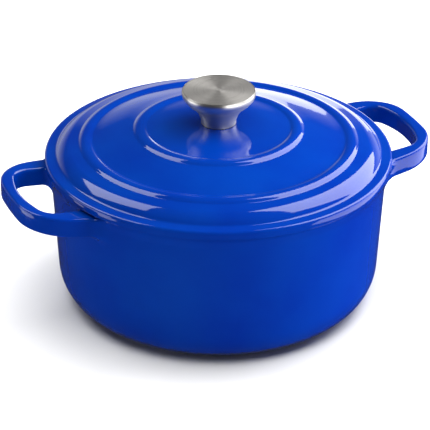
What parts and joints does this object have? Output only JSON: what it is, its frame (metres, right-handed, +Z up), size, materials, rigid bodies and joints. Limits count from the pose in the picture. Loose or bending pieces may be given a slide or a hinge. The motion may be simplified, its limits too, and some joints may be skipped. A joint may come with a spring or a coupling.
{
  "type": "covered casserole dish",
  "caption": "Round covered casserole dish in blue enamelled cast iron: straight-sided pot with loop handles and a low domed lid with raised rings and a steel knob.",
  "frame": {"origin": "centre of the pot's flat base, on the surface it stands on", "axes": "+Z up along the axis of the pot and lid, +X through the middle of one loop handle, -X through the other"},
  "size_m": [0.322, 0.253, 0.1615],
  "materials": {
    "enamelled_cast_iron": "glossy cobalt-blue vitreous enamel outside, glossy pale sand enamel on the cooking side",
    "polished_stainless": "polished stainless steel",
    "turned_stainless": "stainless steel with a fine circular turned grain",
    "plain_stainless": "plain bright stainless steel",
    "silicone": "matt dark silicone"
  },
  "bodies": {
    "pot": {"pot": "enamelled_cast_iron"},
    "lid_screw": {"knob_screw": "plain_stainless", "screw_washer": "plain_stainless", "lock_washer": "plain_stainless"},
    "lid": {"lid": "enamelled_cast_iron", "knob_gasket": "silicone", "knob_shell": "polished_stainless", "knob_cap": "turned_stainless", "knob_insert": "plain_stainless"}
  },
  "joints": [
    {"name": "lid_lift", "type": "slide", "parent": "pot", "child": "lid_screw", "axis": [0, 0, 1], "range_m": [0, 0.16]},
    {"name": "lid_turn", "type": "hinge", "parent": "lid_screw", "child": "lid", "pos_m": [0, 0, 0.13], "axis": [0, 0, 1], "continuous": true}
  ]
}
